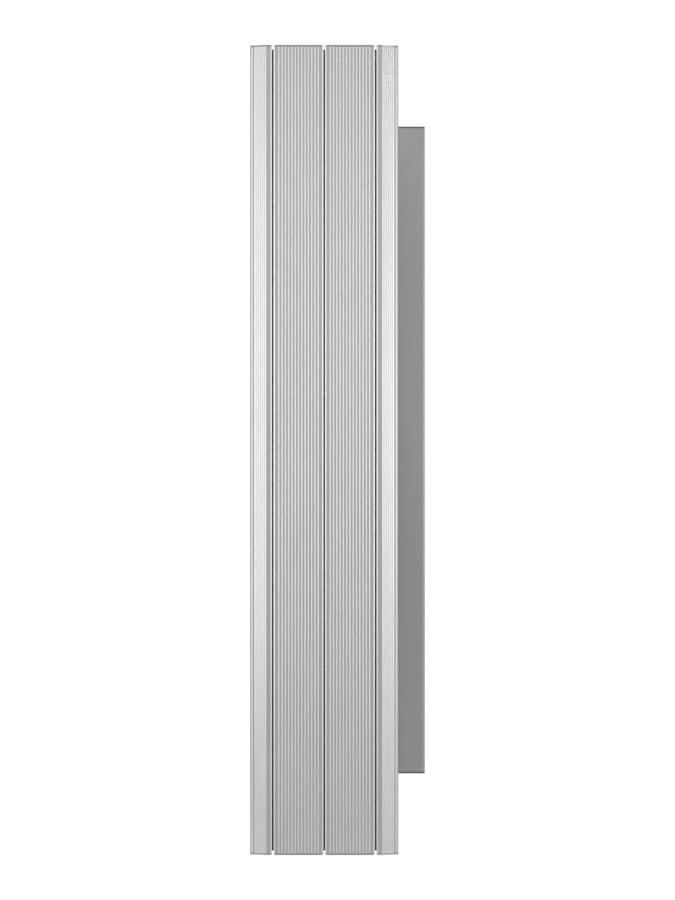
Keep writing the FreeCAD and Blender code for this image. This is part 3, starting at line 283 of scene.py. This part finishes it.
def add_object(name, build):
    """Turn mesh work into an object and free it."""
    bmesh.ops.recalc_face_normals(build, faces=build.faces[:])
    mesh = bpy.data.meshes.new(name)
    build.to_mesh(mesh)
    build.free()
    piece = bpy.data.objects.new(name, mesh)
    bpy.context.scene.collection.objects.link(piece)
    return piece


def clean_copy(node):
    """The node's own surface with whole flat faces instead of triangles."""
    build = bmesh.new()
    build.from_mesh(frame["nodes"][node].data)
    bmesh.ops.remove_doubles(build, verts=build.verts[:], dist=WELD)
    corners = build.verts[:]
    bmesh.ops.dissolve_limit(build, angle_limit=FLAT_ANGLE, verts=corners, edges=build.edges[:])
    return build


def apply_modifier(piece, modifier):
    bpy.context.view_layer.objects.active = piece
    with bpy.context.temp_override(object=piece, active_object=piece):
        bpy.ops.object.modifier_apply(modifier=modifier.name)


def combine(piece, tool, operation):
    """Cut a tool out of a piece, or keep what they share, and remove the tool."""
    modifier = piece.modifiers.new("combine", "BOOLEAN")
    modifier.operation = operation
    modifier.solver = "EXACT"
    modifier.object = tool
    apply_modifier(piece, modifier)
    bpy.data.objects.remove(tool)


def shade_round(piece):
    piece.data.shade_smooth()
    piece.data.set_sharp_from_angle(angle=SMOOTH_ANGLE)


def soften(piece, width):
    """Round every sharp edge a little, shade the curved faces smooth and keep the flats flat."""
    modifier = piece.modifiers.new("soften", "BEVEL")
    modifier.width = width
    modifier.segments = BEVEL_SEGMENTS
    modifier.limit_method = "ANGLE"
    modifier.angle_limit = BEVEL_ANGLE
    modifier.use_clamp_overlap = True
    modifier.harden_normals = True
    apply_modifier(piece, modifier)
    shade_round(piece)
    for face in piece.data.polygons:
        if len(face.vertices) > 4:
            face.use_smooth = False


def spun(build, start, axis, profile, segments, shape=None, closed=False):
    """Add a turned solid: profile is (radius, distance) points; shape can change the radius."""
    out = Vector(axis)
    side = out.orthogonal().normalized()
    other = out.cross(side)
    rings = []
    for radius, distance in profile:
        centre = Vector(start) + out * distance
        if radius == 0:
            rings.append([build.verts.new(centre)])
            continue
        ring = []
        for step in range(segments):
            turn = 2 * math.pi * step / segments
            reach = shape(radius, distance, turn) if shape else radius
            spoke = side * math.cos(turn) + other * math.sin(turn)
            ring.append(build.verts.new(centre + spoke * reach))
        rings.append(ring)
    following = rings[1:] + (rings[:1] if closed else [])
    for first, second in zip(rings, following):
        for step in range(segments):
            ahead = step + 1
            corners = [
                first[step % len(first)],
                first[ahead % len(first)],
                second[ahead % len(second)],
                second[step % len(second)],
            ]
            distinct = list(dict.fromkeys(corners))
            if len(distinct) > 2:
                build.faces.new(distinct)


PLACE_DIGITS = 5  # solids are put in order by their corners, rounded to 0.01 mm


def islands(node):
    """The box of each loose solid in a node."""
    build = clean_copy(node)
    unseen = set(build.verts)
    boxes = []
    while unseen:
        stack = [unseen.pop()]
        found = []
        while stack:
            vertex = stack.pop()
            found.append(vertex.co)
            for edge in vertex.link_edges:
                neighbour = edge.other_vert(vertex)
                if neighbour in unseen:
                    unseen.remove(neighbour)
                    stack.append(neighbour)
        corner = [min(place[axis] for place in found) for axis in range(3)]
        opposite = [max(place[axis] for place in found) for axis in range(3)]
        boxes.append((Vector(corner), Vector(opposite)))
    build.free()
    return sorted(boxes, key=lambda box: tuple(round(value, PLACE_DIGITS) for value in box[0]))


def node_axis(node):
    """Start, length, radius of a node that is turned about an axis along X."""
    corner, opposite = (Vector(end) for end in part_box(node))
    centre = (corner + opposite) / 2
    start = Vector((corner.x, centre.y, centre.z))
    return start, opposite.x - corner.x, (opposite.z - corner.z) / 2


SOFT_EDGE = {
    "casing_cover": 0.5 * MM,
    "casing_cap_top": 0.4 * MM,
    "casing_cap_bottom": 0.4 * MM,
    "casing_base": 0.3 * MM,
    "casing_arms": 0.35 * MM,
    "cover_guides": 0.4 * MM,
    "rail_top": 0.8 * MM,
    "rail_bottom": 0.8 * MM,
    "bracket_pads": 0.4 * MM,
    "valve_body": 0.8 * MM,
    "lockshield_body": 0.8 * MM,
    "valve_bonnet": 0.4 * MM,
    "lockshield_gland": 0.4 * MM,
    "riser_connector": 0.4 * MM,
    "return_connector": 0.4 * MM,
    "header_plugs": 0.6 * MM,
    "vent_body": 0.6 * MM,
    "vent_screw": 0.25 * MM,
    "head_base": 0.4 * MM,
    "slot_nuts": 0.3 * MM,
    "header_nipples_top": 0.3 * MM,
    "header_nipples_bottom": 0.3 * MM,
}
for row in ("top", "bottom"):
    for side in ("left", "right"):
        SOFT_EDGE[f"wall_bracket_{row}_{side}"] = 0.9 * MM


def softened(node, width):
    """A node's own shape with its sharp edges rounded."""
    piece = add_object(node + "_piece", clean_copy(node))
    soften(piece, width)
    settle(piece, node)


for node, width in SOFT_EDGE.items():
    softened(node, width)


NUT_CHAMFER = 1.6 * MM
NUT_EDGE = 0.25 * MM
BARREL_ROOM = 1.02  # between its chamfers the turned barrel just clears the nut's corners
BARREL_STEPS = 64


def hexagon_nuts(node):
    """The compression nuts, with the corners of both ends turned down."""
    piece = add_object(node + "_piece", clean_copy(node))
    barrels = bmesh.new()
    for corner, opposite in islands(node):
        extent = opposite - corner
        along = min(range(3), key=lambda axis: extent[axis])
        axis = Vector([1.0 if index == along else 0.0 for index in range(3)])
        length = extent[along]
        start = (corner + opposite) / 2 - axis * length / 2
        reach = max(extent) / 2
        flat = reach * math.sqrt(3) / 2
        barrel = reach * BARREL_ROOM
        profile = [
            (0, 0),
            (flat, 0),
            (barrel, NUT_CHAMFER),
            (barrel, length - NUT_CHAMFER),
            (flat, length),
            (0, length),
        ]
        spun(barrels, start, axis, profile, BARREL_STEPS)
    combine(piece, add_object("nut_barrels", barrels), "INTERSECT")
    soften(piece, NUT_EDGE)
    settle(piece, node)


SOCKET_RADIUS = 2.6 * MM
SOCKET_DEPTH = 2.4 * MM
SCREW_EDGE = 0.3 * MM
HEXAGON = 6


def socket_screws(node):
    """The rail screws, with a hexagon socket in each head."""
    piece = add_object(node + "_piece", clean_copy(node))
    sockets = bmesh.new()
    length = SOCKET_DEPTH + MM  # past the face of the head
    profile = [(0, 0), (SOCKET_RADIUS, 0), (SOCKET_RADIUS, length), (0, length)]
    for corner, opposite in islands(node):
        centre = (corner + opposite) / 2
        start = Vector((centre.x, opposite.y - SOCKET_DEPTH, centre.z))
        spun(sockets, start, (0, 1, 0), profile, HEXAGON)
    combine(piece, add_object("screw_sockets", sockets), "DIFFERENCE")
    soften(piece, SCREW_EDGE)
    settle(piece, node)


hexagon_nuts("compression_nuts")
socket_screws("rail_screws")

wheel_start, wheel_length, rim_radius = node_axis("handwheel")
WHEEL_WALL = 3 * MM
WHEEL_BORE = rim_radius - 4.7 * MM
WHEEL_EDGE = 0.8 * MM
WHEEL_NOSE = 3.5 * MM  # the round between its rim and its end
NOSE_STEPS = 8
RIM_STEPS = 16
RIM_STOP = 4 * MM  # where the straight rim stops, from the closed end
GRIPS = 14
GRIP_STEPS = 16  # faces across each grip
GRIP_DEPTH = 1.5 * MM
GRIP_ROUNDING = 0.7  # below 1 the grips are wider than the ribs between them
GRIP_START = 2.5 * MM  # from the open edge of the wheel
GRIP_STOP = 2 * MM  # from its closed end
GRIP_RISE = 3 * MM  # the grips deepen over this length
GRIP_FALL = 4 * MM  # and fade out over this one
RIM_BAND = 2 * MM  # points nearer than this to the rim belong to it
DISH = [(13.0, 0.0), (12.4, 0.2), (11.8, 0.8), (11.0, 1.0), (0.0, 1.0)]  # radius and depth, mm


def wheel_shape(radius, distance, turn):
    """Finger grips that run along the rim and fade out towards both ends."""
    stop = wheel_length - GRIP_STOP
    if radius < rim_radius - RIM_BAND or distance < GRIP_START or distance > stop:
        return radius
    fade = min(1.0, (distance - GRIP_START) / GRIP_RISE, (stop - distance) / GRIP_FALL)
    wave = max(0.0, math.cos(turn * GRIPS)) ** GRIP_ROUNDING
    return radius - GRIP_DEPTH * fade * wave


def thermostat_wheel():
    """The handwheel: a soft-edged cup with finger grips and a shallow dish in its end."""
    end = wheel_length
    profile = [(WHEEL_BORE, 0), (rim_radius - WHEEL_EDGE, 0), (rim_radius, WHEEL_EDGE)]
    straight = end - GRIP_START - RIM_STOP
    for step in range(RIM_STEPS + 1):
        profile.append((rim_radius, GRIP_START + straight * step / RIM_STEPS))
    for step in range(1, NOSE_STEPS + 1):
        lean = math.pi / 2 * step / NOSE_STEPS
        inward = WHEEL_NOSE * (1 - math.cos(lean))
        profile.append((rim_radius - inward, end - WHEEL_NOSE + WHEEL_NOSE * math.sin(lean)))
    profile += [(radius * MM, end - depth * MM) for radius, depth in DISH]
    profile += [(0, end - WHEEL_WALL), (WHEEL_BORE, end - WHEEL_WALL), (WHEEL_BORE, 0)]
    build = bmesh.new()
    spun(build, wheel_start, (1, 0, 0), profile, GRIPS * GRIP_STEPS, wheel_shape)
    bmesh.ops.remove_doubles(build, verts=build.verts[:], dist=WELD / 2)
    piece = add_object("thermostat_wheel", build)
    shade_round(piece)
    settle(piece, "handwheel")


thermostat_wheel()

MARKS = 5
MARK_CIRCLE = 8 * MM
MARK_RADIUS = 0.5 * MM
MARK_GROWTH = 0.1 * MM
MARK_HEIGHT = 0.5 * MM
MARK_SHOULDER = 0.4 * MM
MARK_STEPS = 20
SCALE_START = math.radians(30)
SCALE_TURN = math.radians(300)


def wheel_marks():
    """A row of raised pips of growing size on the end of the handwheel, as its scale."""
    build = bmesh.new()
    pitch = SCALE_TURN / (MARKS + 1)
    for number in range(MARKS):
        turn = SCALE_START + pitch * (number + 1)
        spoke = Vector((0, math.sin(turn), math.cos(turn)))
        centre = wheel_start + Vector((wheel_length - MM, 0, 0)) + spoke * MARK_CIRCLE
        radius = MARK_RADIUS + MARK_GROWTH * number
        profile = [(0, 0), (radius, 0), (radius * 0.8, MARK_SHOULDER), (0, MARK_HEIGHT)]
        spun(build, centre, (1, 0, 0), profile, MARK_STEPS)
    piece = add_object("wheel_marks", build)
    piece.data.shade_smooth()
    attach(piece, "handwheel")
    piece.data.materials.append(MATERIALS[SLOT_OF["bracket_pads"]])


wheel_marks()

COLLAR_BORE = 15.05 * MM
COLLAR_LIP = 3 * MM  # its inner lip, which closes round the neck of the head
COLLAR_LIP_BORE = 12.25 * MM
COLLAR_EDGE = 0.6 * MM
KNURLS = 60
KNURL_STEPS = 6  # faces across each knurl
KNURL_DEPTH = 0.35 * MM
KNURL_BAND = 0.3 * MM  # points nearer than this to the rim belong to it
KNURL_MARGIN = 1.2 * MM
KNURL_START = 1.3 * MM


def knurled_ring(name, node):
    """A lipped ring with fine straight knurling round its rim."""
    start, length, radius = node_axis(node)

    def shape(reach, distance, turn):
        plain_end = distance < KNURL_MARGIN or distance > length - KNURL_MARGIN
        if reach < radius - KNURL_BAND or plain_end:
            return reach
        return reach - KNURL_DEPTH * (0.5 + 0.5 * math.cos(turn * KNURLS))

    profile = [
        (radius - COLLAR_EDGE, 0),
        (radius, COLLAR_EDGE),
        (radius, KNURL_START),
        (radius, length / 2),
        (radius, length - KNURL_START),
        (radius, length - COLLAR_EDGE),
        (radius - COLLAR_EDGE, length),
        (COLLAR_LIP_BORE, length),
        (COLLAR_LIP_BORE, length - COLLAR_LIP),
        (COLLAR_BORE, length - COLLAR_LIP),
        (COLLAR_BORE, 0),
    ]
    build = bmesh.new()
    spun(build, start, (1, 0, 0), profile, KNURLS * KNURL_STEPS, shape, closed=True)
    piece = add_object(name, build)
    shade_round(piece)
    settle(piece, node)


knurled_ring("head_collar_ring", "head_collar")


# ---------------------------------------------------------------------------------------------
# Floor, light and camera
# ---------------------------------------------------------------------------------------------

low, high = (Vector(corner) for corner in cad_bounds)
middle = (low + high) / 2

FLOOR_DROP = 0.3
FLOOR_HALF = 4.0


def pale_floor():
    """A plain floor under the object, of a faintly cloudy pale grey."""
    z = low.z - FLOOR_DROP
    half = FLOOR_HALF
    corners = [(-half, -half, z), (half, -half, z), (half, half, z), (-half, half, z)]
    mesh = bpy.data.meshes.new("floor")
    mesh.from_pydata(corners, [], [(0, 1, 2, 3)])
    floor = bpy.data.objects.new("floor", mesh)
    bpy.context.scene.collection.objects.link(floor)
    shader = Shader("pale_floor", metallic=0.0)
    cloud = shader.noise(stretch=(1.0, 1.0, 1.0), scale=3.0)
    colour = shader.blend(cloud, (0.80, 0.80, 0.79), (0.84, 0.84, 0.83))
    mesh.materials.append(shader.finish(colour, shader.span(cloud, 0.5, 0.6)))


pale_floor()

BACKGROUND = 1.05
FRONT_LIGHT = 0.38
SLANTED_LIGHT = 0.82
SIDE_SHARE = 0.73  # of the slanted light, from straight beside the object
BACK_SHARE = 0.45  # of that, from straight behind it
ENDS_SHARE = 0.35  # of the light that comes from straight above and below
# Where each light begins and is complete, as the direction's part along Y or Z.
SLANTED_TO_FRONT = (-0.66, -0.92)
SLANTED_TO_SIDE = (-0.45, -0.10)
SIDE_TO_BACK = (0.45, 0.85)
LEVEL_TO_ENDS = (0.35, 0.85)


def studio_world():
    """White for the camera; as light, dim in front, bright aslant and softer at the sides."""
    world = bpy.data.worlds.new("studio")
    bpy.context.scene.world = world
    world.use_nodes = True
    nodes = world.node_tree.nodes
    links = world.node_tree.links

    def step(value, places, first, last):
        node = nodes.new("ShaderNodeMapRange")
        node.interpolation_type = "SMOOTHSTEP"
        node.inputs["From Min"].default_value = places[0]
        node.inputs["From Max"].default_value = places[1]
        node.inputs["To Min"].default_value = first
        node.inputs["To Max"].default_value = last
        links.new(value, node.inputs["Value"])
        return node.outputs["Result"]

    def arithmetic(operation, *values):
        node = nodes.new("ShaderNodeMath")
        node.operation = operation
        for value, socket in zip(values, node.inputs):
            links.new(value, socket)
        return node.outputs["Value"]

    direction = nodes.new("ShaderNodeTexCoord")
    split = nodes.new("ShaderNodeSeparateXYZ")
    links.new(direction.outputs["Generated"], split.inputs["Vector"])
    front = step(split.outputs["Y"], SLANTED_TO_FRONT, SLANTED_LIGHT, FRONT_LIGHT)
    sides = step(split.outputs["Y"], SLANTED_TO_SIDE, 1.0, SIDE_SHARE)
    ends = step(arithmetic("ABSOLUTE", split.outputs["Z"]), LEVEL_TO_ENDS, 1.0, ENDS_SHARE)
    back = step(split.outputs["Y"], SIDE_TO_BACK, 1.0, BACK_SHARE)
    light = arithmetic("MULTIPLY", arithmetic("MULTIPLY", front, sides), ends)
    light = arithmetic("MULTIPLY", light, back)
    ray = nodes.new("ShaderNodeLightPath")
    pick = nodes.new("ShaderNodeMix")
    pick.data_type = "FLOAT"
    links.new(ray.outputs["Is Camera Ray"], pick.inputs["Factor"])
    links.new(light, pick.inputs["A"])
    pick.inputs["B"].default_value = BACKGROUND
    links.new(pick.outputs["Result"], nodes["Background"].inputs["Strength"])
    nodes["Background"].inputs["Color"].default_value = (1.0, 1.0, 1.0, 1.0)


studio_world()


def soft_box(name, position, target, wide, tall, power):
    """A rectangular area light that faces its target."""
    data = bpy.data.lights.new(name, "AREA")
    data.shape = "RECTANGLE"
    data.size = wide
    data.size_y = tall
    data.energy = power
    item = bpy.data.objects.new(name, data)
    item.location = position
    aim = Vector(target) - Vector(position)
    item.rotation_euler = aim.to_track_quat("-Z", "Y").to_euler()
    bpy.context.scene.collection.objects.link(item)


SIDE_LIGHT_X = 2.6

for name, x in (("left_light", -SIDE_LIGHT_X), ("right_light", SIDE_LIGHT_X)):
    soft_box(name, (x, -0.75, 0.2), target=(0, 0, 0.15), wide=1.0, tall=1.5, power=12.0)
soft_box("top_light", (0.4, -1.3, 3.2), target=(0.15, 0, 0.3), wide=1.6, tall=1.2, power=16.0)
soft_box("back_light", (0.6, 3.0, 2.4), target=(0, 0, -0.2), wide=2.4, tall=2.0, power=70.0)
soft_box("front_light", (0.3, -3.6, 0.65), target=(0, 0, 0.55), wide=2.4, tall=1.2, power=1.9)

FRAME_TALL = 1.9993  # metres that the picture's height covers at the front of the elements
CAMERA_BACK = 24.0
SENSOR = 36.0  # millimetres



def front_camera():
    """A long lens straight in front, level with the middle of the object."""
    lens = bpy.data.cameras.new("camera")
    lens.sensor_width = SENSOR
    lens.sensor_fit = "AUTO"
    lens.lens = SENSOR * CAMERA_BACK / FRAME_TALL
    lens.clip_end = CAMERA_BACK * 4
    camera = bpy.data.objects.new("camera", lens)
    camera.location = (middle.x, low.y - CAMERA_BACK, middle.z)
    camera.rotation_euler = (math.radians(90), 0, 0)
    bpy.context.scene.collection.objects.link(camera)
    bpy.context.scene.camera = camera


front_camera()
bpy.context.scene.view_settings.view_transform = "Standard"
bpy.context.scene.view_settings.look = "None"
